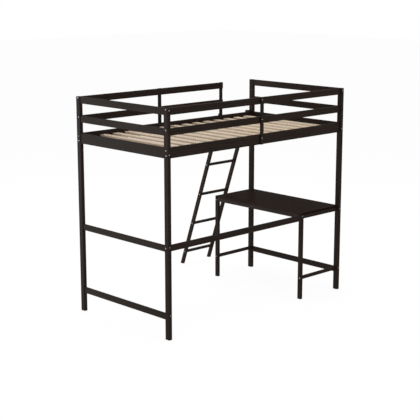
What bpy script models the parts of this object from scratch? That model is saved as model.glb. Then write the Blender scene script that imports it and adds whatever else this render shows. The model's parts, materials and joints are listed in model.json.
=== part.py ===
"""Loft bed with desk: a timber frame bolted together, with a leaning ladder and a built-in desk.

Metres, +Z up.  The bed is laid out from its foot-front corner: x runs from the foot end to the
head end, y from the front side to the rear side where the ladder stands, z up from the floor.
The finished model is moved so that the origin is at the middle of its footprint on the floor.
"""
import math

import bmesh
import bpy
from mathutils import Vector

# ---- driving dimensions ------------------------------------------------------------------
BED_LENGTH = 2.000          # outer faces of the posts, along x
BED_WIDTH = 1.079           # outer faces of the posts, along y
BED_HEIGHT = 1.759          # top of the posts and of the top guard rails
GAP = 0.0003                # left between two pieces that touch
EDGE_BEVEL = 0.0015         # eased edges of the timber

POST_X = 0.030              # post section along x
POST_Y = 0.044              # post section along y
RAIL_THICKNESS = 0.020
GUARD_HEIGHT = 0.053        # top and middle guard rails
MIDDLE_GUARD_DROP = 0.151   # top of the middle guard rails, under the bed's top
BED_RAIL_DROP = 0.291       # top of the deep rails that carry the slats, under the bed's top
SIDE_RAIL_HEIGHT = 0.081
STRETCHER_DROP = 0.018      # top of the stretchers, under the desk's top
LOW_RAIL_TOP = 0.202        # the rails near the floor
STRETCHER_HEIGHT = 0.047

STILE_WIDTH = 0.033         # upright flats bolted over the guard rails
STILE_THICKNESS = 0.012
FRONT_STILE_SHARE = 0.500   # middle of a stile, as a share of the bed's length
REAR_STILE_SHARE = 0.437
GATE_STILE_PAST = 0.004     # middle of the stile at the opening, past the ladder's foot side
GUARD_PAST_STILE_BOLT = 0.0095

SLAT_COUNT = 15
SLAT_WIDTH = 0.060
SLAT_THICKNESS = 0.015
FIRST_SLAT_X = 0.082        # foot-side edge of the first slat
LAST_SLAT_MARGIN = 0.0828   # head-side edge of the last slat, in from the posts' outer faces
SLAT_DROP = 0.031           # top of the slats, under the bed rails' top
SLAT_END_PLAY = 0.0015
CLEAT_THICKNESS = 0.020
CLEAT_END_PLAY = 0.010

DESK_HEIGHT = 0.748
DESK_DEPTH = 0.4844         # from the edge a person sits at to the posts' outer faces
DESK_BACK_SETBACK = 0.010   # board edge in from the head posts' outer faces
DESK_BOARD = 0.015
DESK_APRON = 0.0335         # height of the aprons under the board
LEG_X = 0.026
LEG_Y = 0.0355
DESK_INSET = 0.023          # desk legs, aprons and stretcher in from the posts' outer faces
DESK_LOW_TOP = 0.2015
DESK_LOW_HEIGHT = 0.027

LADDER_WIDTH = 0.3664
LADDER_TO_POST = 0.0072     # between the ladder and the post at the head
STRINGER_WIDTH = 0.0213
STRINGER_DEPTH = 0.034      # square to its slope
LADDER_ANGLE = math.radians(19.1)
STRINGER_TOP_RISE = 0.012   # stands above the side rail
RUNG_COUNT = 5
FIRST_RUNG_Z = 0.124
TOP_RUNG_DROP = 0.184       # middle of the top rung, under the bed rails' top
RUNG_HEIGHT = 0.0205
RUNG_DEPTH = 0.028

BOLT_HOLE = 0.0070
HEAD_RECESS = 0.0110        # sunk seat of a bolt head
RECESS_DEPTH = 0.0020
SIDE_BOLT_DROP = 0.011      # bolts of the long rails, under the rail's top edge
BOLT_STAGGER = 0.0075       # height between the bolts that cross in a post
STRETCHER_BOLT_DROP = 0.0175  # bolt of the long stretcher, under its top edge
PAIR_DROP = 0.0225          # upper bolt of the pair in a side rail
PAIR_SPACING = 0.037
BOLT_INTO_RAIL = 0.050      # depth of the blind hole in a rail's end
LADDER_BOLT = 0.006         # shank of the two bolts that hold the ladder
LADDER_BOLT_HEAD = 0.0125
LADDER_HEAD_HEIGHT = 0.0035
LADDER_BOLT_DROP = 0.018    # under the bed rail's top edge
LADDER_HEAD_SINK = 0.008    # seat of the head, in from the stringer's outer face
LADDER_BOLT_REACH = 0.015   # into the bed rail
HEAD_CLEARANCE = 0.001
LOW_BOLT_DROP = 0.009       # bolts of the low end rails
DESK_LOW_BOLT_DROP = 0.0155 # bolts of the desk's low rails
HOLE_SIDES = 12
OVERSHOOT = 0.002           # a cutter runs this far past the face it enters
NOTCH_MARGIN = 0.010

# ---- worked-out positions ------------------------------------------------------------------
RAIL_IN_X = (POST_X - RAIL_THICKNESS) / 2          # end rails are centred on the posts
RAIL_IN_Y = (POST_Y - RAIL_THICKNESS) / 2          # and so are the long rails
MID_GUARD_TOP = BED_HEIGHT - MIDDLE_GUARD_DROP
SIDE_RAIL_TOP = BED_HEIGHT - BED_RAIL_DROP
SIDE_RAIL_BOTTOM = SIDE_RAIL_TOP - SIDE_RAIL_HEIGHT
STRETCHER_TOP = DESK_HEIGHT - STRETCHER_DROP
FRONT_INNER_Y = RAIL_IN_Y + RAIL_THICKNESS
REAR_INNER_Y = BED_WIDTH - FRONT_INNER_Y
REAR_OUTER_Y = BED_WIDTH - RAIL_IN_Y
SLAT_TOP = SIDE_RAIL_TOP - SLAT_DROP
SLAT_PITCH = (BED_LENGTH - LAST_SLAT_MARGIN - SLAT_WIDTH - FIRST_SLAT_X) / (SLAT_COUNT - 1)
FRONT_STILE_X = FRONT_STILE_SHARE * BED_LENGTH
REAR_STILE_X = REAR_STILE_SHARE * BED_LENGTH
LADDER_X = BED_LENGTH - POST_X - LADDER_TO_POST - LADDER_WIDTH     # foot-side face of the left stringer
LADDER_SLOPE = math.tan(LADDER_ANGLE)
STRINGER_TOP = SIDE_RAIL_TOP + STRINGER_TOP_RISE
STRINGER_RUN = STRINGER_DEPTH / math.cos(LADDER_ANGLE)
STRINGER_FOOT_Y = REAR_OUTER_Y + GAP + LADDER_SLOPE * SIDE_RAIL_TOP
TOTAL_DEPTH = STRINGER_FOOT_Y + STRINGER_RUN
RUNG_SPACING = (SIDE_RAIL_TOP - TOP_RUNG_DROP - FIRST_RUNG_Z) / (RUNG_COUNT - 1)
GATE_STILE_X = LADDER_X + GATE_STILE_PAST
GATE_BOLT_X = GATE_STILE_X - STILE_WIDTH / 2 + GUARD_PAST_STILE_BOLT
GATE_GUARD_END = GATE_BOLT_X + GUARD_PAST_STILE_BOLT
DESK_FRONT_X = BED_LENGTH - DESK_DEPTH
LEG_END_X = DESK_FRONT_X + LEG_X
BOARD_BOTTOM = DESK_HEIGHT - DESK_BOARD
DESK_APRON_BOTTOM = BOARD_BOTTOM - DESK_APRON
CENTRE = Vector((BED_LENGTH / 2, TOTAL_DEPTH / 2, 0.0))


# ---- scene, collections and materials ----------------------------------------------------
for old in list(bpy.data.objects):
    bpy.data.objects.remove(old, do_unlink=True)


def new_collection(name):
    """A collection linked to the scene."""
    collection = bpy.data.collections.new(name)
    bpy.context.scene.collection.children.link(collection)
    return collection


PARTS = new_collection("loft_bed_with_desk")
CUTTERS = new_collection("cutters")


def new_material(name, colour, roughness, metallic=0.0):
    """A plain Principled material."""
    material = bpy.data.materials.new(name)
    material.use_nodes = True
    shader = material.node_tree.nodes["Principled BSDF"]
    shader.inputs["Base Color"].default_value = (*colour, 1.0)
    shader.inputs["Roughness"].default_value = roughness
    shader.inputs["Metallic"].default_value = metallic
    return material


ESPRESSO = new_material("espresso_wood", (0.021, 0.015, 0.013), 0.45)
DESK_FINISH = new_material("espresso_board", (0.020, 0.014, 0.012), 0.38)
PINE = new_material("raw_pine", (0.62, 0.48, 0.34), 0.75)
ZINC = new_material("zinc_steel", (0.60, 0.60, 0.58), 0.35, 1.0)


# ---- shapes ------------------------------------------------------------------------------
def add_object(name, mesh, material):
    """Puts a mesh in the model as one named piece."""
    piece = bpy.data.objects.new(name, mesh)
    PARTS.objects.link(piece)
    mesh.materials.append(material)
    return piece


def ease_edges(piece, width=EDGE_BEVEL):
    """Rounds over the long edges of a timber piece."""
    bevel = piece.modifiers.new("eased_edges", 'BEVEL')
    bevel.width = width
    bevel.segments = 1
    bevel.limit_method = 'ANGLE'
    return piece


def timber(name, x_range, y_range, z_range, material=ESPRESSO, bevel=EDGE_BEVEL):
    """A straight piece of timber that fills the given ranges of the bed's layout."""
    ranges = (x_range, y_range, z_range)
    size = Vector([high - low for low, high in ranges])
    middle = Vector([(high + low) / 2 for low, high in ranges])
    mesh = bpy.data.meshes.new(name)
    shape = bmesh.new()
    bmesh.ops.create_cube(shape, size=1.0)
    bmesh.ops.scale(shape, vec=size, verts=shape.verts)
    shape.to_mesh(mesh)
    shape.free()
    piece = add_object(name, mesh, material)
    piece.location = middle - CENTRE
    return ease_edges(piece, bevel)


def extruded(name, outline, width, material, bevel=EDGE_BEVEL):
    """A solid whose outline of (y, z) points is pushed along +x by width."""
    mesh = bpy.data.meshes.new(name)
    shape = bmesh.new()
    start = shape.faces.new([shape.verts.new((0.0, y, z)) for y, z in outline])
    pushed = bmesh.ops.extrude_face_region(shape, geom=[start])
    moved = [item for item in pushed["geom"] if isinstance(item, bmesh.types.BMVert)]
    bmesh.ops.translate(shape, vec=(width, 0.0, 0.0), verts=moved)
    bmesh.ops.recalc_face_normals(shape, faces=shape.faces)
    shape.to_mesh(mesh)
    shape.free()
    return ease_edges(add_object(name, mesh, material), bevel)


def cylinder_into(shape, start, axis, length, diameter, sides=HOLE_SIDES):
    """Adds a closed cylinder to a mesh, from start along the unit vector axis."""
    turn = Vector((0, 0, 1)).rotation_difference(axis).to_matrix().to_4x4()
    turn.translation = Vector(start) + axis * (length / 2)
    bmesh.ops.create_cone(shape, cap_ends=True, segments=sides, radius1=diameter / 2,
                          radius2=diameter / 2, depth=length, matrix=turn)


def cut(piece, name, builder):
    """Cuts a piece with the mesh that builder makes in the bed's layout."""
    mesh = bpy.data.meshes.new(name)
    shape = bmesh.new()
    builder(shape)
    shape.to_mesh(mesh)
    shape.free()
    cutter = bpy.data.objects.new(name, mesh)
    CUTTERS.objects.link(cutter)
    cutter.location = -CENTRE
    cutter.hide_render = True
    cutter.display_type = 'WIRE'
    boolean = piece.modifiers.new(name, 'BOOLEAN')
    boolean.operation = 'DIFFERENCE'
    boolean.object = cutter


def drill(piece, name, starts, axis, thickness, recess=True):
    """Bolt holes through a piece, each with a sunk seat for the head where it starts."""
    axis = Vector(axis)

    def holes(shape):
        for start in starts:
            entry = Vector(start) - axis * OVERSHOOT
            cylinder_into(shape, entry, axis, thickness + 2 * OVERSHOOT, BOLT_HOLE)

    def seats(shape):
        for start in starts:
            entry = Vector(start) - axis * OVERSHOOT
            cylinder_into(shape, entry, axis, RECESS_DEPTH + OVERSHOOT, HEAD_RECESS)

    if recess:
        cut(piece, name + "_seats", seats)
    cut(piece, name + "_holes", holes)


# ---- posts ---------------------------------------------------------------------------------
LONG_BOLTS = [BED_HEIGHT - SIDE_BOLT_DROP, MID_GUARD_TOP - SIDE_BOLT_DROP,
              SIDE_RAIL_TOP - PAIR_DROP, SIDE_RAIL_TOP - PAIR_DROP - PAIR_SPACING]
END_BOLTS = [BED_HEIGHT - SIDE_BOLT_DROP - BOLT_STAGGER,
             SIDE_RAIL_TOP - PAIR_DROP - PAIR_SPACING + BOLT_STAGGER]
STRETCHER_BOLT = STRETCHER_TOP - STRETCHER_BOLT_DROP
END_STRETCHER_BOLT = STRETCHER_BOLT + BOLT_STAGGER
LOW_END_BOLT = LOW_RAIL_TOP - LOW_BOLT_DROP
DESK_LOW_BOLT = DESK_LOW_TOP - DESK_LOW_BOLT_DROP
DESK_RAIL_Y = DESK_INSET + RAIL_THICKNESS / 2        # middle of the desk's side aprons


def make_post(name, at_head, at_rear):
    """One corner post, drilled for the long rails (along x) and the end rails (along y)."""
    x0 = BED_LENGTH - POST_X if at_head else 0.0
    y0 = BED_WIDTH - POST_Y if at_rear else 0.0
    post = timber(name, (x0, x0 + POST_X), (y0, y0 + POST_Y), (0.0, BED_HEIGHT))
    mid_x = x0 + POST_X / 2
    mid_y = y0 + POST_Y / 2
    desk_y = BED_WIDTH - DESK_RAIL_Y if at_rear else DESK_RAIL_Y
    outer_x = x0 + POST_X if at_head else x0
    outer_y = y0 + POST_Y if at_rear else y0
    inward_x = (-1, 0, 0) if at_head else (1, 0, 0)
    inward_y = (0, -1, 0) if at_rear else (0, 1, 0)

    guard_bolts = LONG_BOLTS[2:] if at_head and at_rear else LONG_BOLTS
    long_starts = [(outer_x, mid_y, z) for z in guard_bolts]
    if at_head:
        long_starts += [(outer_x, desk_y, z) for z in (STRETCHER_BOLT, DESK_LOW_BOLT)]
    elif not at_rear:
        long_starts.append((outer_x, desk_y, STRETCHER_BOLT))
    end_starts = [(mid_x, outer_y, z) for z in (*END_BOLTS, END_STRETCHER_BOLT, LOW_END_BOLT)]
    drill(post, name + "_x", long_starts, inward_x, POST_X)
    drill(post, name + "_y", end_starts, inward_y, POST_Y)
    return post


def make_posts():
    """The four corner posts."""
    for end, at_head in (("foot", False), ("head", True)):
        for side, at_rear in (("front", False), ("rear", True)):
            make_post(f"post_{end}_{side}", at_head, at_rear)


# ---- rails -----------------------------------------------------------------------------------
def along_bed(end_x=BED_LENGTH - POST_X - GAP):
    """The x range of a rail between the foot posts and end_x."""
    return (POST_X + GAP, end_x)


def bored_rail(name, x_range, y_range, z_range, bolt_heights, ends=(True, True)):
    """A rail with blind bolt holes in its end grain, at the given heights.

    The rail runs along its longest side, and ends says which of its two ends is bored.
    """
    rail = timber(name, x_range, y_range, z_range)
    if not bolt_heights:
        return rail
    lengthways = 0 if x_range[1] - x_range[0] > y_range[1] - y_range[0] else 1
    span = (x_range, y_range)[lengthways]
    across = sum((y_range, x_range)[lengthways]) / 2

    def holes(shape):
        for end, bored in enumerate(ends):
            if not bored:
                continue
            inward = 1.0 if end == 0 else -1.0
            axis = Vector((inward, 0, 0) if lengthways == 0 else (0, inward, 0))
            for z in bolt_heights:
                place = (span[end], across, z) if lengthways == 0 else (across, span[end], z)
                cylinder_into(shape, Vector(place) - axis * OVERSHOOT, axis,
                              BOLT_INTO_RAIL + OVERSHOOT, BOLT_HOLE)

    cut(rail, name + "_bores", holes)
    return rail


def across_bed():
    """The y range of a rail between the front and rear posts."""
    return (POST_Y + GAP, BED_WIDTH - POST_Y - GAP)


def make_end_rails():
    """Guard rails, slat rail and lower rails of the foot end and the head end."""
    levels = {"top_rail": (BED_HEIGHT, GUARD_HEIGHT, [END_BOLTS[0]]),
              "middle_rail": (MID_GUARD_TOP, GUARD_HEIGHT, []),
              "bed_rail": (SIDE_RAIL_TOP, SIDE_RAIL_HEIGHT, [END_BOLTS[1]]),
              "low_rail": (LOW_RAIL_TOP, STRETCHER_HEIGHT, [LOW_END_BOLT])}
    for end, x0 in (("foot", RAIL_IN_X), ("head", BED_LENGTH - RAIL_IN_X - RAIL_THICKNESS)):
        for level, (top, height, bolts) in levels.items():
            bored_rail(f"{end}_{level}", (x0, x0 + RAIL_THICKNESS), across_bed(), (top - height, top), bolts)
    bored_rail("foot_stretcher", (RAIL_IN_X, RAIL_IN_X + RAIL_THICKNESS), across_bed(),
               (STRETCHER_TOP - STRETCHER_HEIGHT, STRETCHER_TOP), [END_STRETCHER_BOLT])


def make_long_rails():
    """Guard rails and bed rails of the two long sides, and the front stretcher to the desk."""
    front = (RAIL_IN_Y, FRONT_INNER_Y)
    rear = (REAR_INNER_Y, REAR_OUTER_Y)
    top = (BED_HEIGHT - GUARD_HEIGHT, BED_HEIGHT)
    middle = (MID_GUARD_TOP - GUARD_HEIGHT, MID_GUARD_TOP)
    deep = (SIDE_RAIL_BOTTOM, SIDE_RAIL_TOP)
    top_bolt, middle_bolt, *pair = LONG_BOLTS
    guard = along_bed(GATE_GUARD_END)
    bored_rail("front_top_rail", along_bed(), front, top, [top_bolt])
    bored_rail("front_middle_rail", along_bed(), front, middle, [middle_bolt])
    bored_rail("front_bed_rail", along_bed(), front, deep, pair)
    bored_rail("rear_top_rail", guard, rear, top, [top_bolt], (True, False))
    bored_rail("rear_middle_rail", guard, rear, middle, [middle_bolt], (True, False))
    rear_rail = bored_rail("rear_bed_rail", along_bed(), rear, deep, pair)
    bored_rail("front_stretcher", along_bed(DESK_FRONT_X - GAP),
               (DESK_INSET, DESK_INSET + RAIL_THICKNESS),
               (STRETCHER_TOP - STRETCHER_HEIGHT, STRETCHER_TOP), [STRETCHER_BOLT])
    ladder_holes = [(x, REAR_OUTER_Y, LADDER_BOLT_Z) for x in ladder_bolt_places()]
    drill(rear_rail, "rear_bed_rail_ladder", ladder_holes, (0, -1, 0), LADDER_BOLT_REACH, recess=False)


def make_stiles():
    """The upright flats bolted to the outer faces of the guard rails and bed rails."""
    bolts = [BED_HEIGHT - SIDE_BOLT_DROP - BOLT_STAGGER, MID_GUARD_TOP - PAIR_DROP,
             SIDE_RAIL_TOP - PAIR_DROP - BOLT_STAGGER]
    heights = (SIDE_RAIL_BOTTOM, BED_HEIGHT)
    front_y = RAIL_IN_Y - STILE_THICKNESS - GAP
    rear_y = REAR_OUTER_Y + GAP
    for name, middle_x, bolt_x, y0, outer_y, inward in (
            ("front_stile", FRONT_STILE_X, FRONT_STILE_X, front_y, front_y, (0, 1, 0)),
            ("rear_stile", REAR_STILE_X, REAR_STILE_X, rear_y, rear_y + STILE_THICKNESS, (0, -1, 0)),
            ("ladder_stile", GATE_STILE_X, GATE_BOLT_X, rear_y, rear_y + STILE_THICKNESS, (0, -1, 0))):
        stile = timber(name, (middle_x - STILE_WIDTH / 2, middle_x + STILE_WIDTH / 2),
                       (y0, y0 + STILE_THICKNESS), heights)
        drill(stile, name, [(bolt_x, outer_y, z) for z in bolts], inward, STILE_THICKNESS)
    ladder_hole = (ladder_bolt_places()[0], rear_y + STILE_THICKNESS, LADDER_BOLT_Z)
    drill(stile, "ladder_stile_ladder", [ladder_hole], (0, -1, 0), STILE_THICKNESS, recess=False)


# ---- bed base --------------------------------------------------------------------------------
def make_base():
    """The two cleats on the bed rails and the slats that lie across them."""
    cleat_top = SLAT_TOP - SLAT_THICKNESS - GAP
    cleat_x = (POST_X + CLEAT_END_PLAY, BED_LENGTH - POST_X - CLEAT_END_PLAY)
    for side, y0 in (("front", FRONT_INNER_Y + GAP), ("rear", REAR_INNER_Y - GAP - CLEAT_THICKNESS)):
        timber(f"{side}_slat_cleat", cleat_x, (y0, y0 + CLEAT_THICKNESS), (SIDE_RAIL_BOTTOM, cleat_top))
    for number in range(SLAT_COUNT):
        x0 = FIRST_SLAT_X + number * SLAT_PITCH
        timber(f"slat_{number + 1:02d}", (x0, x0 + SLAT_WIDTH),
               (FRONT_INNER_Y + SLAT_END_PLAY, REAR_INNER_Y - SLAT_END_PLAY),
               (SLAT_TOP - SLAT_THICKNESS, SLAT_TOP), PINE)


# ---- desk --------------------------------------------------------------------------------------
def make_desk_board():
    """The desk board, notched round the two head posts."""
    board = timber("desk_board", (DESK_FRONT_X, BED_LENGTH - DESK_BACK_SETBACK),
                   (DESK_INSET, BED_WIDTH - DESK_INSET), (BOARD_BOTTOM, DESK_HEIGHT), DESK_FINISH)

    def notches(shape):
        for y_low, y_high in ((DESK_INSET - NOTCH_MARGIN, POST_Y + GAP),
                              (BED_WIDTH - POST_Y - GAP, BED_WIDTH - DESK_INSET + NOTCH_MARGIN)):
            low = Vector((BED_LENGTH - POST_X - GAP, y_low, BOARD_BOTTOM - NOTCH_MARGIN))
            high = Vector((BED_LENGTH + NOTCH_MARGIN, y_high, DESK_HEIGHT + NOTCH_MARGIN))
            made = bmesh.ops.create_cube(shape, size=1.0)["verts"]
            bmesh.ops.scale(shape, vec=high - low, verts=made)
            bmesh.ops.translate(shape, vec=(high + low) / 2, verts=made)

    cut(board, "desk_board_notches", notches)


def make_desk():
    """The board, its two legs, four aprons and the two low side rails."""
    make_desk_board()
    under_board = BOARD_BOTTOM - GAP
    apron = (DESK_APRON_BOTTOM, under_board)
    low = (DESK_LOW_TOP - DESK_LOW_HEIGHT, DESK_LOW_TOP)
    between = (LEG_END_X + GAP, BED_LENGTH - POST_X - GAP)
    bored_rail("desk_front_apron", (DESK_FRONT_X, DESK_FRONT_X + RAIL_THICKNESS),
               (DESK_INSET + LEG_Y + GAP, BED_WIDTH - DESK_INSET - LEG_Y - GAP), apron,
               [END_STRETCHER_BOLT])
    head_x = BED_LENGTH - RAIL_IN_X - RAIL_THICKNESS
    bored_rail("desk_head_apron", (head_x, head_x + RAIL_THICKNESS), across_bed(), apron,
               [END_STRETCHER_BOLT])
    for side, outer_y, inward in (("front", DESK_INSET, 1), ("rear", BED_WIDTH - DESK_INSET, -1)):
        rail_y = sorted((outer_y, outer_y + inward * RAIL_THICKNESS))
        leg_y = sorted((outer_y, outer_y + inward * LEG_Y))
        bored_rail(f"desk_{side}_side_apron", between, rail_y, apron, [STRETCHER_BOLT])
        bored_rail(f"desk_{side}_low_rail", between, rail_y, low, [DESK_LOW_BOLT])
        leg = timber(f"desk_{side}_leg", (DESK_FRONT_X, LEG_END_X), leg_y, (0.0, under_board))
        rail_mid = outer_y + inward * RAIL_THICKNESS / 2
        levels = (STRETCHER_BOLT, DESK_LOW_BOLT) if side == "rear" else (DESK_LOW_BOLT,)
        drill(leg, f"desk_{side}_leg_x", [(DESK_FRONT_X, rail_mid, z) for z in levels], (1, 0, 0), LEG_X)
        drill(leg, f"desk_{side}_leg_y",
              [(DESK_FRONT_X + LEG_X / 2, outer_y, END_STRETCHER_BOLT)], (0, inward, 0), LEG_Y)
        if side == "front":
            through = [(DESK_FRONT_X, rail_mid, STRETCHER_BOLT)]
            drill(leg, "desk_front_leg_stretcher", through, (1, 0, 0), LEG_X, recess=False)


# ---- ladder ----------------------------------------------------------------------------------
LADDER_BOLT_Z = SIDE_RAIL_TOP - LADDER_BOLT_DROP


def stringer_places():
    """The foot-side face of each stringer."""
    return {"left": LADDER_X, "right": LADDER_X + LADDER_WIDTH - STRINGER_WIDTH}


def ladder_bolt_places():
    """The x of the bolt through each stringer, left then right."""
    return [x + STRINGER_WIDTH / 2 for x in stringer_places().values()]


def stringer_outline(bearing_y):
    """Side outline of a stringer, cut level at both ends and plumb where it bears at bearing_y."""
    def inner(z):
        return STRINGER_FOOT_Y - LADDER_SLOPE * z

    plumb_z = (STRINGER_FOOT_Y - bearing_y) / LADDER_SLOPE
    return [(inner(0.0), 0.0), (inner(0.0) + STRINGER_RUN, 0.0),
            (inner(STRINGER_TOP) + STRINGER_RUN, STRINGER_TOP),
            (bearing_y, STRINGER_TOP), (bearing_y, plumb_z)]


def rung_middle(number):
    """The (y, z) middle of a rung."""
    z = FIRST_RUNG_Z + number * RUNG_SPACING
    return STRINGER_FOOT_Y - LADDER_SLOPE * z + STRINGER_RUN / 2, z


def ladder_head_seat():
    """The y of the sunk seat on which a ladder bolt's head bears."""
    return STRINGER_FOOT_Y - LADDER_SLOPE * LADDER_BOLT_Z + STRINGER_RUN - LADDER_HEAD_SINK


def drill_for_ladder_bolt(stringer, side, middle_x):
    """The level hole of a ladder bolt through a stringer, with a sunk seat for its head."""
    inward = Vector((0, -1, 0))
    seat = Vector((middle_x, ladder_head_seat(), LADDER_BOLT_Z))

    def head_seat(shape):
        mouth = seat - inward * 2 * LADDER_HEAD_SINK
        cylinder_into(shape, mouth, inward, 2 * LADDER_HEAD_SINK, LADDER_BOLT_HEAD + 2 * HEAD_CLEARANCE)

    def hole(shape):
        cylinder_into(shape, seat - inward * LADDER_HEAD_SINK, inward,
                      LADDER_HEAD_SINK + STRINGER_RUN, BOLT_HOLE)

    cut(stringer, f"ladder_{side}_head_seat", head_seat)
    cut(stringer, f"ladder_{side}_bolt_hole", hole)


def make_ladder_bolt(side, middle_x):
    """A turned bolt from the seat in the stringer into the bed rail."""
    length = ladder_head_seat() - GAP - (REAR_OUTER_Y - LADDER_BOLT_REACH + HEAD_CLEARANCE)
    head = LADDER_BOLT_HEAD / 2
    profile = [(0.0, LADDER_HEAD_HEIGHT), (head * 0.8, LADDER_HEAD_HEIGHT),
               (head, LADDER_HEAD_HEIGHT * 0.6), (head, 0.0), (LADDER_BOLT / 2, 0.0),
               (LADDER_BOLT / 2, -length), (0.0, -length)]
    name = f"ladder_bolt_{side}"
    mesh = bpy.data.meshes.new(name)
    edges = [(index, index + 1) for index in range(len(profile) - 1)]
    mesh.from_pydata([(radius, 0.0, height) for radius, height in profile], edges, [])
    bolt = add_object(name, mesh, ZINC)
    turned = bolt.modifiers.new("turned", 'SCREW')
    turned.steps = HOLE_SIDES
    turned.render_steps = HOLE_SIDES
    turned.use_merge_vertices = True
    turned.merge_threshold = 0.0001
    bolt.rotation_euler = (math.radians(-90), 0.0, 0.0)
    bolt.location = Vector((middle_x, ladder_head_seat() + GAP, LADDER_BOLT_Z)) - CENTRE


def make_ladder():
    """Two leaning stringers, five level rungs and the two bolts that hold the ladder to the bed."""
    stile_face = REAR_OUTER_Y + STILE_THICKNESS + 2 * GAP
    bearings = {"left": stile_face, "right": REAR_OUTER_Y + GAP}
    rungs = [rung_middle(number) for number in range(RUNG_COUNT)]
    for side, x0 in stringer_places().items():
        stringer = extruded(f"ladder_{side}_stringer", stringer_outline(bearings[side]),
                            STRINGER_WIDTH, ESPRESSO)
        stringer.location = Vector((x0, 0.0, 0.0)) - CENTRE
        outer_x = x0 if side == "left" else x0 + STRINGER_WIDTH
        inward = (1, 0, 0) if side == "left" else (-1, 0, 0)
        drill(stringer, f"ladder_{side}_stringer_rungs", [(outer_x, y, z) for y, z in rungs],
              inward, STRINGER_WIDTH)
        drill_for_ladder_bolt(stringer, side, x0 + STRINGER_WIDTH / 2)
        make_ladder_bolt(side, x0 + STRINGER_WIDTH / 2)
    inner_x = (LADDER_X + STRINGER_WIDTH + GAP, LADDER_X + LADDER_WIDTH - STRINGER_WIDTH - GAP)
    for number, (y, z) in enumerate(rungs):
        bored_rail(f"ladder_rung_{number + 1}", inner_x, (y - RUNG_DEPTH / 2, y + RUNG_DEPTH / 2),
                   (z - RUNG_HEIGHT / 2, z + RUNG_HEIGHT / 2), [z])


make_posts()
make_end_rails()
make_long_rails()
make_stiles()
make_base()
make_desk()
make_ladder()
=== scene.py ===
"""Looks of a loft bed with a desk: espresso-stained timber, raw pine slats, zinc-plated fittings.

Metres, +Z up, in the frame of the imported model: +X runs from the foot end to the head end, where
the desk is, +Y towards the side with the ladder.  The origin is in the middle of the footprint.
"""
import json
import logging
import math
from dataclasses import dataclass, field
from enum import Enum
from typing import Any, Dict, Iterable, List, Optional, Sequence, Tuple

import bpy
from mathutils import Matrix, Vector


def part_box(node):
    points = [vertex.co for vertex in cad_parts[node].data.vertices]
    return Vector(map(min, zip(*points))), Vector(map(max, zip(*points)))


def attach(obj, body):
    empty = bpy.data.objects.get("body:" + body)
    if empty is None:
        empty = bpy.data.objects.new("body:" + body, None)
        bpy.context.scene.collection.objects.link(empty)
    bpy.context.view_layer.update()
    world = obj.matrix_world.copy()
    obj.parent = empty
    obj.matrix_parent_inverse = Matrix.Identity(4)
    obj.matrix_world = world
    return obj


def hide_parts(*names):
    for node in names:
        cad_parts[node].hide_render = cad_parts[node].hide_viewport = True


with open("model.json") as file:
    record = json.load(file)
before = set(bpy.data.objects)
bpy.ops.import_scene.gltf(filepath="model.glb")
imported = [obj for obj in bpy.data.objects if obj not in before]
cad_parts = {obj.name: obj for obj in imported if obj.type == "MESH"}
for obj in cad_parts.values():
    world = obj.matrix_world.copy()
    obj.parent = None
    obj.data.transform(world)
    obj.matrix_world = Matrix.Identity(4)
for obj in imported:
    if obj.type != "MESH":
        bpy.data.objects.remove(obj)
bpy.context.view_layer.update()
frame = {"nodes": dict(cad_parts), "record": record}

BODY = "root"
LADDER_LEAN = 19.1                     # degrees from upright
STRINGERS = ("ladder_left_stringer", "ladder_right_stringer")
SQUARE = 0.999                         # part of a normal that counts as all along one axis
UP = Vector((0.0, 0.0, 1.0))
WHITE = (1.0, 1.0, 1.0, 1.0)
log = logging.getLogger("loft_bed")

Colour = Tuple[float, float, float]
Place = Tuple[Vector, Vector]          # a point and the outward direction there


# ---- nodes ---------------------------------------------------------------------------------
class Signal:
    """An output socket that takes part in arithmetic; each operation adds a Math node."""

    def __init__(self, maker: "NodeMaker", socket: bpy.types.NodeSocket) -> None:
        """Wraps a socket.

        Args:
            maker: the maker of the tree that the socket is in.
            socket: the output socket.
        """
        self.maker = maker
        self.socket = socket

    def _math(self, operation: str, first: Any, second: Any) -> "Signal":
        """Adds one Math node on two operands, each a Signal or a number."""
        return self.maker.node("ShaderNodeMath", {"operation": operation}, {0: first, 1: second})

    def __add__(self, other: Any) -> "Signal":
        """Sum."""
        return self._math("ADD", self, other)

    __radd__ = __add__

    def __mul__(self, other: Any) -> "Signal":
        """Product."""
        return self._math("MULTIPLY", self, other)

    __rmul__ = __mul__

    def __gt__(self, other: Any) -> "Signal":
        """One where this is greater, zero elsewhere."""
        return self._math("GREATER_THAN", self, other)

    def __abs__(self) -> "Signal":
        """Absolute value."""
        return self._math("ABSOLUTE", self, 0.0)


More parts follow.
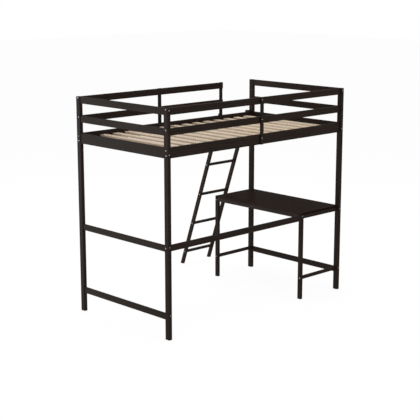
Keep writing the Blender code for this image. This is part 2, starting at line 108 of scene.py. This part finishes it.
class NodeMaker:
    """Adds nodes to a tree, and joins them."""

    def __init__(self, tree: bpy.types.NodeTree) -> None:
        """Starts on a node tree."""
        self.tree = tree

    def node(self, kind: str, settings: Optional[Dict[str, Any]] = None,
             inputs: Optional[Dict[Any, Any]] = None, output: Any = 0) -> Signal:
        """Adds one node.

        Args:
            kind: the node's type.
            settings: properties set before the sockets; "stops" holds a ramp's (place, grey) pairs.
            inputs: socket name or number to a value, a Signal, or a list of Signals.
            output: name or number of the output that is wanted.

        Returns:
            The wanted output.
        """
        made = self.tree.nodes.new(kind)
        for name, value in (settings or {}).items():
            if name == "stops":
                self._set_stops(made.color_ramp, value)
            else:
                setattr(made, name, value)
        for key, value in (inputs or {}).items():
            socket = made.inputs[key]
            for item in value if isinstance(value, list) else [value]:
                if isinstance(item, Signal):
                    self.tree.links.new(item.socket, socket)
                else:
                    socket.default_value = item
        return Signal(self, made.outputs[output])

    @staticmethod
    def _set_stops(ramp: bpy.types.ColorRamp, stops: Sequence[Tuple[float, float]]) -> None:
        """Gives a ramp its grey stops.

        Args:
            ramp: the ramp, with two stops or fewer than are wanted.
            stops: place and grey level of each stop, from left to right.
        """
        while len(ramp.elements) < len(stops):
            ramp.elements.new(0.5)
        for element, (place, grey) in zip(ramp.elements, stops):
            element.position = place
            element.color = (grey, grey, grey, 1.0)

    def vector(self, x: Any = 0.0, y: Any = 0.0, z: Any = 0.0) -> Signal:
        """A vector from three numbers or Signals."""
        return self.node("ShaderNodeCombineXYZ", inputs={0: x, 1: y, 2: z})

    def vectors(self, operation: str, first: Any, second: Any, output: Any = 0) -> Signal:
        """A Vector Math node on two vectors."""
        return self.node("ShaderNodeVectorMath", {"operation": operation},
                         {0: first, 1: second}, output)


class Paint(NodeMaker):
    """The node tree of one material."""

    def __init__(self, name: str) -> None:
        """Makes an empty material.

        Args:
            name: the material's name.
        """
        self.material = bpy.data.materials.new(name)
        self.material.use_nodes = True
        super().__init__(self.material.node_tree)
        self.shader = self.tree.nodes["Principled BSDF"]

    def mix(self, factor: Any, first: Any, second: Any) -> Signal:
        """A colour between two colours; the factor 0 gives the first."""
        return self.node("ShaderNodeMix", {"data_type": "RGBA"},
                         {0: factor, 6: first, 7: second}, 2)

    def noise(self, coords: Signal, scale: float, detail: float, rough: float) -> Signal:
        """Noise from 0 to 1.

        Args:
            coords: the coordinate that it is read at.
            scale: blobs a metre.
            detail: octaves of finer noise.
            rough: weight of each finer octave.

        Returns:
            The noise.
        """
        return self.node("ShaderNodeTexNoise", None, {
            "Vector": coords, "Scale": scale, "Detail": detail, "Roughness": rough}, "Fac")

    def ramp(self, value: Signal, stops: Sequence[Tuple[float, float]]) -> Signal:
        """Spreads a value over grey stops."""
        return self.node("ShaderNodeValToRGB", {"stops": stops}, {0: value})

    def bump(self, height: Signal, strength: float, depth: float) -> Signal:
        """A disturbed normal.

        Args:
            height: the relief, from 0 to 1.
            strength: how much of it is used.
            depth: the relief's full height in metres.

        Returns:
            The normal.
        """
        return self.node("ShaderNodeBump", None,
                         {"Strength": strength, "Distance": depth, "Height": height})

    def dress(self, **links: Any) -> bpy.types.Material:
        """Sets the shader's sockets.

        Args:
            links: socket name with underscores to a number, a colour or a Signal.

        Returns:
            The finished material.
        """
        for name, value in links.items():
            socket = self.shader.inputs[name.replace("_", " ")]
            if isinstance(value, Signal):
                self.tree.links.new(value.socket, socket)
            else:
                socket.default_value = value
        return self.material


def rgba(colour: Colour) -> Tuple[float, float, float, float]:
    """A colour with full alpha."""
    return (*colour, 1.0)


# ---- finishes ------------------------------------------------------------------------------
class Grain(Enum):
    """The way the wood's fibres run: the turn that brings them upright, in degrees."""

    ALONG = (0.0, 90.0, 0.0)
    ACROSS = (90.0, 0.0, 0.0)
    UPRIGHT = (0.0, 0.0, 0.0)
    LEANING = (-LADDER_LEAN, 0.0, 0.0)

    @property
    def axis(self) -> Vector:
        """Unit vector along the fibres."""
        lean = math.radians(LADDER_LEAN)
        return {Grain.ALONG: Vector((1, 0, 0)), Grain.ACROSS: Vector((0, 1, 0)),
                Grain.UPRIGHT: Vector((0, 0, 1)),
                Grain.LEANING: Vector((0, -math.sin(lean), math.cos(lean)))}[self]


@dataclass(frozen=True)
class StainedPine:
    """Solid pine under a dark espresso stain and a satin lacquer."""

    name: str
    grain: Grain
    deep: Colour = (0.0133, 0.0081, 0.0063)
    worn: Colour = (0.0350, 0.0227, 0.0170)
    end: Colour = (0.0096, 0.0061, 0.0048)
    fibre: float = 260.0            # streaks a metre across the fibres
    stretch: float = 0.035          # how much slower the pattern changes along them
    pores: float = 3.5              # how much finer the pores are than the streaks
    satin: Tuple[float, float] = (0.44, 0.60)
    relief: float = 0.00035
    reflection: float = 0.07

    def make(self) -> bpy.types.Material:
        """Builds the material: streaks, broad tone, dark end grain and a shallow relief.

        Returns:
            The material.
        """
        paint = Paint(self.name)
        place = paint.node("ShaderNodeTexCoord", output="Object")
        turn = tuple(math.radians(angle) for angle in self.grain.value)
        upright = paint.node("ShaderNodeMapping", None, {"Vector": place, "Rotation": turn})
        drawn = paint.vectors("MULTIPLY", upright, (1.0, 1.0, self.stretch))
        streaks = paint.noise(drawn, self.fibre, 5.0, 0.62)
        pores = paint.noise(drawn, self.fibre * self.pores, 2.0, 0.5)
        broad = paint.noise(paint.vectors("MULTIPLY", upright, (1.0, 1.0, 0.25)), 9.0, 2.0, 0.5)
        rings = paint.node("ShaderNodeTexWave", {"bands_direction": "X", "wave_profile": "SAW"}, {
            "Vector": paint.vectors("MULTIPLY", upright, (1.0, 1.0, 0.10)),
            "Scale": 14.0, "Distortion": 5.0, "Detail": 2.0, "Detail Scale": 1.6}, "Fac")
        tone = paint.ramp(streaks * 0.45 + broad * 0.35 + rings * 0.20, [(0.30, 0.0), (0.72, 1.0)])
        normal = paint.node("ShaderNodeTexCoord", output="Normal")
        facing = abs(paint.vectors("DOT_PRODUCT", normal, tuple(self.grain.axis), "Value"))
        sawn = paint.ramp(facing, [(0.86, 0.0), (0.94, 1.0)])
        side = self.face_colour(paint, tone, normal)
        low, high = self.satin
        return paint.dress(
            Base_Color=paint.mix(sawn, side, rgba(self.end)),
            Roughness=low + (high - low) * streaks + 0.12 * sawn,
            Normal=paint.bump(streaks * 0.6 + pores * 0.4, 0.35, self.relief),
            Specular_IOR_Level=self.reflection)

    def face_colour(self, paint: Paint, tone: Signal, normal: Signal) -> Signal:
        """The stain's colour on the planed faces.

        Args:
            paint: the material under way.
            tone: 0 where the stain is deep, 1 where it is worn.
            normal: the surface's direction in the object's own axes; not used here.

        Returns:
            The colour.
        """
        return paint.mix(tone, rgba(self.deep), rgba(self.worn))


@dataclass(frozen=True)
class StainedBoard(StainedPine):
    """Board with a smooth, even espresso face: finer figure and less relief; its upright edges
    carry a lighter colour that is painted light.
    """

    deep: Colour = (0.0190, 0.0122, 0.0100)
    worn: Colour = (0.0320, 0.0215, 0.0178)
    fibre: float = 420.0
    stretch: float = 0.02
    satin: Tuple[float, float] = (0.36, 0.46)
    relief: float = 0.00015
    reflection: float = 0.002
    # painted light: lighter colours for the board's upright edges, standing in for the light that
    # falls on them
    edge_painted_light_deep: Colour = (0.0270, 0.0190, 0.0165)
    edge_painted_light_worn: Colour = (0.0460, 0.0335, 0.0290)

    def face_colour(self, paint: Paint, tone: Signal, normal: Signal) -> Signal:
        """The stain's colour on the wide faces and, lighter, on the upright edges, where the
        lighter colour is painted light standing in for the light that falls on them.

        Args:
            paint: the material under way.
            tone: 0 where the stain is deep, 1 where it is worn.
            normal: the surface's direction in the object's own axes.

        Returns:
            The colour.
        """
        level = abs(paint.vectors("DOT_PRODUCT", normal, (0.0, 0.0, 1.0), "Value"))
        wide = paint.ramp(level, [(0.45, 0.0), (0.55, 1.0)])
        # the upright edges get the lighter colour, which is painted light
        edge_painted_light = paint.mix(tone, rgba(self.edge_painted_light_deep), rgba(self.edge_painted_light_worn))
        return paint.mix(wide, edge_painted_light, super().face_colour(paint, tone, normal))


@dataclass(frozen=True)
class RawPine:
    """Planed pine without finish: pale sapwood, darker growth rings and a few knots."""

    name: str = "raw_pine_slats"
    sapwood: Colour = (0.730, 0.605, 0.480)
    latewood: Colour = (0.540, 0.410, 0.280)
    knot: Colour = (0.150, 0.075, 0.035)
    tone_name: str = "slat_tone"

    def make(self) -> bpy.types.Material:
        """Builds the material; every slat reads another part of the pattern.

        Returns:
            The material.
        """
        paint = Paint(self.name)
        place = paint.node("ShaderNodeTexCoord", output="Object")
        tone = paint.node("ShaderNodeAttribute", {"attribute_name": self.tone_name}, output="Fac")
        moved = paint.vectors("ADD", place, paint.vector(0.0, tone * 7.0, tone * 3.0))
        drawn = paint.vectors("MULTIPLY", moved, (1.0, 0.03, 1.0))
        fibres = paint.noise(drawn, 420.0, 4.0, 0.6)
        rings = paint.node("ShaderNodeTexWave", {"bands_direction": "X", "wave_profile": "SIN"}, {
            "Vector": paint.vectors("MULTIPLY", moved, (1.0, 0.09, 1.0)),
            "Scale": 26.0, "Distortion": 6.5, "Detail": 2.5, "Detail Scale": 1.2}, "Fac")
        spots = paint.node("ShaderNodeTexVoronoi", {"voronoi_dimensions": "3D"},
                           {"Vector": paint.vectors("MULTIPLY", moved, (1.0, 0.6, 0.2)),
                            "Scale": 8.0, "Randomness": 1.0}, "Distance")
        knots = paint.ramp(spots, [(0.050, 1.0), (0.085, 0.0)])
        late = paint.ramp(rings, [(0.45, 0.0), (0.95, 1.0)])
        wood = paint.mix(late * 0.55 + fibres * 0.30, rgba(self.sapwood), rgba(self.latewood))
        toned = paint.mix(tone * 0.22, wood, rgba(self.latewood))
        return paint.dress(
            Base_Color=paint.mix(knots * 0.85, toned, rgba(self.knot)),
            Roughness=0.68 + 0.14 * fibres,
            Normal=paint.bump(fibres, 0.30, 0.0004),
            Specular_IOR_Level=0.04)


@dataclass(frozen=True)
class ZincSteel:
    """Zinc-plated steel with a faint brushed cloud."""

    name: str = "zinc_plated_steel"
    colour: Colour = (0.70, 0.70, 0.68)
    shade: Colour = (0.48, 0.485, 0.485)

    def make(self) -> bpy.types.Material:
        """Builds the material: a fine cloud of brighter and duller plating.

        Returns:
            The material.
        """
        paint = Paint(self.name)
        place = paint.node("ShaderNodeTexCoord", output="Object")
        cloud = paint.noise(place, 900.0, 3.0, 0.6)
        return paint.dress(Base_Color=paint.mix(cloud, rgba(self.shade), rgba(self.colour)),
                           Roughness=0.46 + 0.16 * cloud, Metallic=1.0)


# ---- geometry trees --------------------------------------------------------------------------
class GeometryTree(NodeMaker):
    """A Geometry Nodes tree with named inputs."""

    def __init__(self, name: str) -> None:
        """Makes an empty tree with a geometry input and output.

        Args:
            name: the tree's name.
        """
        super().__init__(bpy.data.node_groups.new(name, "GeometryNodeTree"))
        for way in ("OUTPUT", "INPUT"):
            self.tree.interface.new_socket("Geometry", in_out=way,
                                           socket_type="NodeSocketGeometry")
        self.entry = self.tree.nodes.new("NodeGroupInput")
        self.names: Dict[str, str] = {}

    def size(self, name: str, kind: str = "Float") -> Signal:
        """Adds a named input and returns it.

        Args:
            name: the input's name.
            kind: Float, Int, Vector or Material.

        Returns:
            The input's signal inside the tree.
        """
        made = self.tree.interface.new_socket(name, in_out="INPUT",
                                              socket_type=f"NodeSocket{kind}")
        self.names[name] = made.identifier
        return Signal(self, self.entry.outputs[name])

    @property
    def source(self) -> Signal:
        """The geometry that the tree is given."""
        return Signal(self, self.entry.outputs["Geometry"])

    def cylinder(self, sides: int, rings: int, radius: Any, depth: Any, middle: Any) -> Signal:
        """A closed cylinder along z.

        Args:
            sides: corners of its outline.
            rings: segments along z.
            radius: its radius.
            depth: its length.
            middle: height of its middle.

        Returns:
            The mesh.
        """
        shape = self.node("GeometryNodeMeshCylinder", {"fill_type": "NGON"}, {
            "Vertices": sides, "Side Segments": rings, "Radius": radius, "Depth": depth})
        return self.node("GeometryNodeTransform", None,
                         {"Geometry": shape, "Translation": self.vector(z=middle)})

    def join(self, meshes: List[Signal]) -> Signal:
        """One closed mesh out of several that overlap."""
        return self.node("GeometryNodeMeshBoolean", {"operation": "UNION", "solver": "EXACT"},
                         {"Mesh 2": meshes})

    def end(self, geometry: Signal, finish: Signal) -> None:
        """Makes instances real, gives them a finish and leads them to the output.

        Args:
            geometry: what the tree has made.
            finish: the material.
        """
        real = self.node("GeometryNodeRealizeInstances", None, {0: geometry})
        dressed = self.node("GeometryNodeSetMaterial", None, {"Geometry": real, "Material": finish})
        exit_node = self.tree.nodes.new("NodeGroupOutput")
        self.tree.links.new(dressed.socket, exit_node.inputs[0])

    def grow(self, name: str, points: Iterable[Place], values: Dict[str, Any]) -> bpy.types.Object:
        """Runs the tree on a set of points and returns the result as a plain mesh.

        Args:
            name: the piece's name.
            points: each point and its outward direction.
            values: input name to value.

        Returns:
            The piece, at the origin, with no modifier.
        """
        places = list(points)
        seed_mesh = bpy.data.meshes.new(name + "_points")
        seed_mesh.from_pydata([point for point, _ in places], [], [])
        outward = seed_mesh.attributes.new("outward", "FLOAT_VECTOR", "POINT")
        for item, (_, direction) in zip(outward.data, places):
            item.vector = direction
        holder = bpy.data.objects.new(name + "_points", seed_mesh)
        bpy.context.scene.collection.objects.link(holder)
        modifier = holder.modifiers.new(self.tree.name, "NODES")
        modifier.node_group = self.tree
        for key, value in values.items():
            modifier[self.names[key]] = value
        bpy.context.view_layer.update()
        evaluated = holder.evaluated_get(bpy.context.evaluated_depsgraph_get())
        mesh = bpy.data.meshes.new_from_object(evaluated)
        bpy.data.objects.remove(holder)
        mesh.name = name
        piece = bpy.data.objects.new(name, mesh)
        bpy.context.scene.collection.objects.link(piece)
        return piece


class Drive(Enum):
    """The recess that a fitting is turned by."""

    HEXAGON = "hexagon"
    CROSS = "cross"


class FittingTree(GeometryTree):
    """Headed fittings, one on each point, with a shank that runs inwards."""

    HEAD_SIDES = 32
    SHANK_SIDES = 12
    RIM = ((0.5, 0.975), (0.17, 0.90))      # depth as a share of the height, and width there
    SLOT = 0.24                             # width of a cross's slot, as a share of its length

    def __init__(self, drive: Drive) -> None:
        """Builds the tree.

        Args:
            drive: the recess in the heads.
        """
        super().__init__(f"{drive.value}_fittings")
        head_width, head_height = self.size("Head Diameter"), self.size("Head Height")
        shank_width, shank_length = self.size("Shank Diameter"), self.size("Shank Length")
        drive_width, drive_depth = self.size("Drive Width"), self.size("Drive Depth")
        finish, seed = self.size("Finish", "Material"), self.size("Seed", "Int")
        head = self.cylinder(self.HEAD_SIDES, 3, head_width * 0.5, head_height, head_height * -0.5)
        head = self._round_rim(head, head_height)
        shank = self.cylinder(self.SHANK_SIDES, 1, shank_width * 0.5, shank_length,
                              (head_height + shank_length) * -0.5)
        body = self.join([head, shank])
        recess = self._recess(drive, drive_width, drive_depth)
        fitting = self.node("GeometryNodeMeshBoolean",
                            {"operation": "DIFFERENCE", "solver": "EXACT"},
                            {"Mesh 1": body, "Mesh 2": recess})
        self.end(self._place(fitting, seed), finish)

    def _round_rim(self, head: Signal, height: Signal) -> Signal:
        """Draws the rim of a head in towards its top, as on a pressed head.

        Args:
            head: the head, with its top at height 0.
            height: its height.

        Returns:
            The head with its rounded rim.
        """
        place = self.node("GeometryNodeInputPosition")
        level = self.node("ShaderNodeSeparateXYZ", None, {0: place}, 2)
        for depth, share in self.RIM:
            above = level > height * -depth
            drawn = self.vectors("MULTIPLY", place, (share, share, 1.0))
            head = self.node("GeometryNodeSetPosition", None,
                             {"Geometry": head, "Selection": above, "Position": drawn})
        return head

    def _recess(self, drive: Drive, width: Signal, depth: Signal) -> Signal:
        """The body that is cut out of a head.

        Args:
            drive: its shape.
            width: its width: over the flats of a hexagon, or the length of a cross's slots.
            depth: how deep it goes.

        Returns:
            The body, half of it above the head.
        """
        if drive is Drive.HEXAGON:
            return self.cylinder(6, 1, width * (1 / math.sqrt(3)), depth * 2.0, 0.0)
        slots = []
        for along_x, along_y in ((1.0, self.SLOT), (self.SLOT, 1.0)):
            size = self.vector(width * along_x, width * along_y, depth * 2.0)
            slots.append(self.node("GeometryNodeMeshCube", None, {"Size": size}))
        return self.join(slots)

    def _place(self, fitting: Signal, seed: Signal) -> Signal:
        """Stands a fitting on each point, along its outward direction and at a random turn.

        Args:
            fitting: the fitting, with its head towards +z.
            seed: seed of the turns.

        Returns:
            The instances.
        """
        outward = self.node("GeometryNodeInputNamedAttribute", {"data_type": "FLOAT_VECTOR"},
                            {"Name": "outward"})
        upright = self.node("FunctionNodeAlignRotationToVector", {"axis": "Z"}, {"Vector": outward})
        angle = self.node("FunctionNodeRandomValue", {"data_type": "FLOAT"},
                          {2: 0.0, 3: 2 * math.pi, "Seed": seed}, 1)
        spin = self.node("FunctionNodeAxisAngleToRotation", None, {"Angle": angle, "Axis": UP})
        turned = self.node("FunctionNodeRotateRotation", {"rotation_space": "LOCAL"},
                           {"Rotation": upright, "Rotate By": spin})
        return self.node("GeometryNodeInstanceOnPoints", None,
                         {"Points": self.source, "Instance": fitting, "Rotation": turned})


class BarTree(GeometryTree):
    """A row of straight bars with rounded long edges, evenly stepped."""

    CORNER_STEPS = 3

    def __init__(self) -> None:
        """Builds the tree."""
        super().__init__("bars")
        count, first = self.size("Count", "Int"), self.size("First", "Vector")
        step = self.size("Step", "Vector")
        run, play = self.size("Half Run", "Vector"), self.size("Play", "Vector")
        width, height, radius = self.size("Width"), self.size("Height"), self.size("Edge Radius")
        finish, seed = self.size("Finish", "Material"), self.size("Seed", "Int")
        outline = self.node("GeometryNodeCurvePrimitiveQuadrilateral", {"mode": "RECTANGLE"},
                            {"Width": width, "Height": height})
        rounded = self.node("GeometryNodeFilletCurve", {"mode": "POLY"},
                            {"Curve": outline, "Count": self.CORNER_STEPS, "Radius": radius})
        start = self.vectors("MULTIPLY", run, (-1.0, -1.0, -1.0))
        line = self.node("GeometryNodeCurvePrimitiveLine", {"mode": "POINTS"},
                         {"Start": start, "End": run})
        level = self.node("GeometryNodeSetCurveNormal", {"mode": "Z_UP"}, {"Curve": line})
        bar = self.node("GeometryNodeCurveToMesh", None,
                        {"Curve": level, "Profile Curve": rounded, "Fill Caps": True})
        row = self.node("GeometryNodeMeshLine", {"mode": "OFFSET"},
                        {"Count": count, "Start Location": first, "Offset": step})
        low = self.vectors("MULTIPLY", play, (-1.0, -1.0, -1.0))
        shift = self.node("FunctionNodeRandomValue", {"data_type": "FLOAT_VECTOR"},
                          {0: low, 1: play, "Seed": seed}, 0)
        loose = self.node("GeometryNodeSetPosition", None, {"Geometry": row, "Offset": shift})
        copies = self.node("GeometryNodeInstanceOnPoints", None, {"Points": loose, "Instance": bar})
        tone = self.node("FunctionNodeRandomValue", {"data_type": "FLOAT"}, {"Seed": seed}, 1)
        toned = self.node("GeometryNodeStoreNamedAttribute",
                          {"data_type": "FLOAT", "domain": "INSTANCE"},
                          {"Geometry": copies, "Name": RawPine.tone_name, "Value": tone})
        self.end(toned, finish)


# ---- pieces ----------------------------------------------------------------------------------
def settle(piece: bpy.types.Object, stands_for: Sequence[str] = ()) -> None:
    """Hands a finished piece to the frame.

    Args:
        piece: the piece, in place.
        stands_for: CAD nodes that it is shown in place of.
    """
    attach(piece, BODY)
    if stands_for:
        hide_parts(*stands_for)
    log.info("%s: %d faces", piece.name, len(piece.data.polygons))


def paint_node(name: str, material: bpy.types.Material) -> None:
    """Gives a CAD node its finish."""
    for slot in frame["nodes"][name].material_slots:
        slot.material = material


def seats_of(node: str, depth: float, reach: float = 0.012, slack: float = 0.0001) -> List[Place]:
    """Finds the sunk seats that a CAD node has for fitting heads.

    Args:
        node: the CAD node.
        depth: how far the seats lie under the node's outer faces.
        reach: faces nearer to each other than this belong to one seat.
        slack: how far a seat may lie from its depth.

    Returns:
        The middle of each seat and the direction out of it.
    """
    low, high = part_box(node)
    mesh = frame["nodes"][node].data
    found: List[Tuple[Vector, List[Vector]]] = []
    for face in mesh.polygons:
        for axis in (0, 1):
            outer = high if face.normal[axis] > 0 else low
            sunk = abs(outer[axis] - face.center[axis])
            if abs(face.normal[axis]) < SQUARE or abs(sunk - depth) > slack:
                continue
            corners = [mesh.vertices[index].co.copy() for index in face.vertices]
            for _, gathered in found:
                if (gathered[0] - face.center).length < reach:
                    gathered.extend(corners)
                    break
            else:
                found.append((face.normal.copy(), corners))
    return [(middle_of(corners), direction.normalized()) for direction, corners in found]


def middle_of(corners: Sequence[Vector]) -> Vector:
    """The middle of the box round some points."""
    return Vector([(min(values) + max(values)) / 2 for values in zip(*corners)])


@dataclass
class Timber:
    """The stained timber of the frame, desk and ladder: CAD nodes that only need a finish; the
    desk's front apron gets a lighter stain that is painted light.
    """

    wood_slot: str = "espresso_wood"
    board_slot: str = "espresso_board"
    # painted light: the desk's front apron and its lighter colours, standing in for the light that
    # falls on it
    apron_painted_light: str = "desk_front_apron"
    apron_painted_light_deep: Colour = (0.0200, 0.0135, 0.0112)
    apron_painted_light_worn: Colour = (0.0480, 0.0340, 0.0280)

    def grain_of(self, node: str) -> Grain:
        """The way the fibres run in a node.

        Args:
            node: the CAD node.

        Returns:
            Leaning for a stringer, else the way of the node's longest side.
        """
        if node in STRINGERS:
            return Grain.LEANING
        low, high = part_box(node)
        size = high - low
        longest = max(range(3), key=lambda axis: size[axis])
        return (Grain.ALONG, Grain.ACROSS, Grain.UPRIGHT)[longest]

    def dress(self) -> None:
        """Paints every stained node."""
        stains = {grain: StainedPine(f"espresso_pine_{grain.name.lower()}", grain).make()
                  for grain in Grain}
        board = StainedBoard("espresso_board_face", Grain.ACROSS).make()
        # the front apron's material carries painted light: a lighter stain for the light that falls
        # on it
        apron = StainedPine("espresso_pine_apron", Grain.ACROSS, deep=self.apron_painted_light_deep,
                            worn=self.apron_painted_light_worn).make()
        for entry in frame["record"]["subparts"]:
            node, slot = entry["node"], entry["material_slot"]
            if node == self.apron_painted_light:
                paint_node(node, apron)
            elif slot == self.wood_slot:
                paint_node(node, stains[self.grain_of(node)])
            elif slot == self.board_slot:
                paint_node(node, board)


@dataclass
class Fittings:
    """The socket-head bolts of the joints, the stile screws and the ladder's bolts."""

    seat_depth: float = 0.0020
    head_width: float = 0.0094
    head_height: float = 0.0018
    shank: float = 0.0058
    socket: float = 0.0042
    socket_depth: float = 0.0012
    bite: float = 0.024             # how far a bolt goes into the timber behind
    stile_bite: float = 0.012
    seed: int = 7
    slot: str = "zinc_steel"
    tree: FittingTree = field(default_factory=lambda: FittingTree(Drive.HEXAGON))

    def build(self) -> None:
        """Makes each set of fittings, and plates the ladder's two bolts."""
        steel = ZincSteel().make()
        for node in ("ladder_bolt_left", "ladder_bolt_right"):
            paint_node(node, steel)
        nodes = sorted(frame["nodes"])
        posts = [node for node in nodes if node.startswith("post_")]
        legs = ["desk_front_leg", "desk_rear_leg"]
        stiles = [node for node in nodes if node.endswith("_stile")]
        for name, group, axis, bite in (("post_long_rail_bolts", posts, 0, self.bite),
                                        ("post_end_rail_bolts", posts, 1, self.bite),
                                        ("desk_side_rail_bolts", legs, 0, self.bite),
                                        ("desk_apron_bolts", legs, 1, self.bite),
                                        ("stile_screws", stiles, 1, self.stile_bite),
                                        ("rung_bolts", STRINGERS, 0, self.bite)):
            self._set_of(name, group, axis, bite, steel)

    def _set_of(self, name: str, group: Sequence[str], axis: int, bite: float,
                steel: bpy.types.Material) -> None:
        """Makes one set of fittings that run the same way.

        Args:
            name: the piece's name.
            group: the CAD nodes whose seats are filled.
            axis: 0 for seats that face along x, 1 along y.
            bite: how far the shanks go into what lies behind.
            steel: the finish.
        """
        low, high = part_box(group[0])
        through = (high - low)[axis] - self.seat_depth
        places = [(seat + out * self.head_height, out)
                  for node in group for seat, out in seats_of(node, self.seat_depth)
                  if abs(out[axis]) > SQUARE]
        piece = self.tree.grow(name, places, {
            "Head Diameter": self.head_width, "Head Height": self.head_height,
            "Shank Diameter": self.shank, "Shank Length": through + bite,
            "Drive Width": self.socket, "Drive Depth": self.socket_depth,
            "Finish": steel, "Seed": self.seed})
        log.info("%s: %d fittings", name, len(places))
        settle(piece)


@dataclass
class SlatBase:
    """The row of slats that the mattress lies on, and the screws that hold it to the cleats."""

    edge_radius: float = 0.0025
    play: float = 0.0009
    seed: int = 11
    screw_head: float = 0.0078
    screw_height: float = 0.0012
    screw_shank: float = 0.0038
    screw_length: float = 0.026
    cross: float = 0.0042
    cross_depth: float = 0.0009
    proud: float = 0.0002

    def build(self) -> None:
        """Makes the slats and their screws."""
        names = sorted(node for node in frame["nodes"] if node.startswith("slat_"))
        boxes = [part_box(node) for node in names]
        low, high = boxes[0]
        size = high - low
        first, last = middle_of(boxes[0]), middle_of(boxes[-1])
        slats = BarTree().grow("slats", [(first, UP)], {
            "Count": len(names), "First": first, "Step": (last - first) / (len(names) - 1),
            "Half Run": Vector((0, size.y / 2, 0)), "Play": Vector((self.play, 0, 0)),
            "Width": size.x, "Height": size.z, "Edge Radius": self.edge_radius,
            "Finish": RawPine().make(), "Seed": self.seed})
        settle(slats, names)
        self._screws(boxes)

    def _screws(self, boxes: Sequence[Tuple[Vector, Vector]]) -> None:
        """Makes a cross-head screw through each end of each slat, over the middle of the cleat.

        Args:
            boxes: the box of each slat.
        """
        rows = [middle_of(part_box(cleat)).y for cleat in ("front_slat_cleat", "rear_slat_cleat")]
        places = [(Vector(((low.x + high.x) / 2, y, high.z + self.proud)), UP)
                  for low, high in boxes for y in rows]
        screws = FittingTree(Drive.CROSS).grow("slat_screws", places, {
            "Head Diameter": self.screw_head, "Head Height": self.screw_height,
            "Shank Diameter": self.screw_shank, "Shank Length": self.screw_length,
            "Drive Width": self.cross, "Drive Depth": self.cross_depth,
            "Finish": ZincSteel("zinc_screws").make(), "Seed": self.seed})
        settle(screws)


@dataclass(frozen=True)
class Lamp:
    """A square soft light that faces the bed: where it stands, its side and its power in watts."""

    name: str
    place: Tuple[float, float, float]
    side: float
    power: float
    aim: Tuple[float, float, float] = (0.0, -0.1, 0.95)

    def hang(self) -> None:
        """Makes the light and turns it to its aim."""
        data = bpy.data.lights.new(self.name, "AREA")
        data.size, data.energy = self.side, self.power
        light = bpy.data.objects.new(self.name, data)
        light.location = self.place
        way = Vector(self.aim) - Vector(self.place)
        light.rotation_euler = way.to_track_quat("-Z", "Y").to_euler()
        bpy.context.scene.collection.objects.link(light)


@dataclass
class Studio:
    """Camera, white surroundings and soft light, most of it from the foot end and from above."""

    eye: Vector = field(default_factory=lambda: Vector((-6.3264, -6.7446, 2.7481)))
    turn: Tuple[float, float, float] = (77.7004, 0.0, -44.0917)
    lens: float = 95.155
    sensor: float = 36.0
    floor_half: float = 30.0
    dome_radius: float = 60.0
    sky: float = 0.500
    floor_grey: float = 0.10
    floor_glow: float = 0.930
    lamps: Tuple[Lamp, ...] = (
        Lamp("side", (-4.8, 5.2, 0.4), 3.4, 165.0),
        Lamp("fill", (0.8, -6.5, 1.6), 3.6, 62.0),
        Lamp("overhead", (0.3, 0.4, 5.6), 4.0, 128.0))

    def set_camera(self) -> None:
        """Makes the camera."""
        data = bpy.data.cameras.new("camera")
        data.lens, data.sensor_width = self.lens, self.sensor
        data.clip_end = 4 * self.dome_radius
        camera = bpy.data.objects.new("camera", data)
        camera.location = self.eye
        camera.rotation_euler = [math.radians(angle) for angle in self.turn]
        bpy.context.scene.collection.objects.link(camera)
        bpy.context.scene.camera = camera

    def set_stage(self) -> None:
        """Makes the floor, the white surroundings and the lights."""
        scene = bpy.context.scene
        scene.view_settings.view_transform = "Standard"
        world = bpy.data.worlds.new("studio")
        world.use_nodes = True
        background = world.node_tree.nodes["Background"]
        background.inputs["Color"].default_value = WHITE
        background.inputs["Strength"].default_value = self.sky
        scene.world = world
        self._floor()
        self._dome()
        for lamp in self.lamps:
            lamp.hang()

    @staticmethod
    def _seen_by_camera_only(stage: bpy.types.Object) -> None:
        """Keeps a stage piece from lighting the object or showing in its lacquer.

        Args:
            stage: the floor or the surroundings.
        """
        stage.visible_diffuse = False
        stage.visible_glossy = False
        stage.visible_transmission = False
        stage.visible_shadow = False

    def _floor(self) -> None:
        """Makes a pale floor that runs into the surroundings."""
        mesh = bpy.data.meshes.new("floor")
        half = self.floor_half
        corners = [(-half, -half, 0), (half, -half, 0), (half, half, 0), (-half, half, 0)]
        mesh.from_pydata(corners, [], [(0, 1, 2, 3)])
        floor = bpy.data.objects.new("floor", mesh)
        bpy.context.scene.collection.objects.link(floor)
        paint = Paint("pale_floor")
        mesh.materials.append(paint.dress(
            Base_Color=rgba((self.floor_grey,) * 3), Roughness=0.9, Specular_IOR_Level=0.0,
            Emission_Color=WHITE, Emission_Strength=self.floor_glow))
        self._seen_by_camera_only(floor)

    def _dome(self) -> None:
        """Makes the white surroundings."""
        bpy.ops.mesh.primitive_uv_sphere_add(segments=32, ring_count=16, radius=self.dome_radius)
        dome = bpy.context.object
        dome.name = "surroundings"
        paint = Paint("white_surroundings")
        dome.data.materials.append(paint.dress(
            Base_Color=(0.0, 0.0, 0.0, 1.0), Specular_IOR_Level=0.0,
            Emission_Color=WHITE, Emission_Strength=1.0))
        self._seen_by_camera_only(dome)


def main() -> None:
    """Builds the studio and every piece, in order."""
    logging.basicConfig(level=logging.INFO, format="%(name)s %(message)s")
    studio = Studio()
    studio.set_camera()
    Timber().dress()
    SlatBase().build()
    Fittings().build()
    studio.set_stage()


if __name__ == "__main__":
    main()
